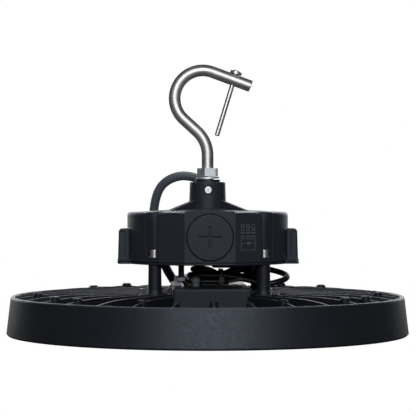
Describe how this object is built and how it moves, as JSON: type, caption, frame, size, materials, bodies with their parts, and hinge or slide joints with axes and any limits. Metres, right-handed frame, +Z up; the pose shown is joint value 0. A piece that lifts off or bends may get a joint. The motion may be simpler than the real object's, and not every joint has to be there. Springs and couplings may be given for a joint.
{
  "type": "high bay light",
  "caption": "Round LED high bay light: a ribbed cast heat sink with a deep rim and domed lens, a sealed driver box on cast legs, and a rod hook with a safety screw.",
  "frame": {"origin": "centre of the rim's lower edge, the plane the light stands on", "axes": "+Z up along the hook shank, -Y the side with the port plug, +X the side the hook's tip points to"},
  "size_m": [0.3412, 0.3412, 0.2291],
  "materials": {
    "cast_black": "satin",
    "pad_grey": "matte",
    "board_white": "satin",
    "led_yellow": "gloss",
    "zinc": "bright",
    "white_plastic": "matte",
    "lens_clear": "gloss",
    "black_rubber": "matte",
    "black_plastic": "matte",
    "board_green": "matte",
    "can_grey": "gloss",
    "bare_aluminium": "satin",
    "hook_steel": "polished",
    "cord_grey": "satin",
    "cable_black": "satin",
    "vent_grey": "matte",
    "nylon_light": "matte"
  },
  "bodies": {
    "fixture": {"heat_sink": "cast_black", "thermal_pad": "pad_grey", "led_board": "board_white", "led_chips": "led_yellow", "led_board_screws": "zinc", "led_connector": "white_plastic", "lens": "lens_clear", "lens_gasket": "black_rubber", "lens_ring": "cast_black", "lens_ring_screws": "zinc", "driver_housing": "cast_black", "driver_base": "cast_black", "driver_gasket": "black_rubber", "driver_base_screws": "zinc", "leg_screws": "zinc", "leg_spring_washers": "zinc", "leg_flat_washers": "zinc", "port_plug": "black_plastic", "port_plug_seal": "black_rubber", "selector_switch": "black_plastic", "driver_board": "board_green", "driver_board_posts": "zinc", "driver_transformer": "black_plastic", "driver_capacitors": "can_grey", "driver_heat_spreader": "bare_aluminium", "hook": "hook_steel", "hook_safety_screw": "zinc", "hook_bush": "black_plastic", "hook_washer": "zinc", "hook_nut": "zinc", "hook_lock_screw": "zinc", "power_gland": "black_plastic", "power_gland_nut": "black_plastic", "power_cord": "cord_grey", "dimming_grommet": "black_rubber", "lead_grommet_upper": "black_rubber", "led_lead": "cable_black", "lead_grommet_lower": "black_rubber", "vent_plug": "vent_grey", "dimming_hank": "cable_black", "dimming_cable": "cable_black", "hank_tie": "black_plastic", "lead_clip": "nylon_light", "lead_clip_screw": "zinc"},
    "slider": {"selector_slider": "white_plastic"}
  },
  "joints": [
    {"name": "selector_slide", "type": "slide", "parent": "fixture", "child": "slider", "axis": [1, 0, 0], "range_m": [-0.002, 0.002]}
  ]
}
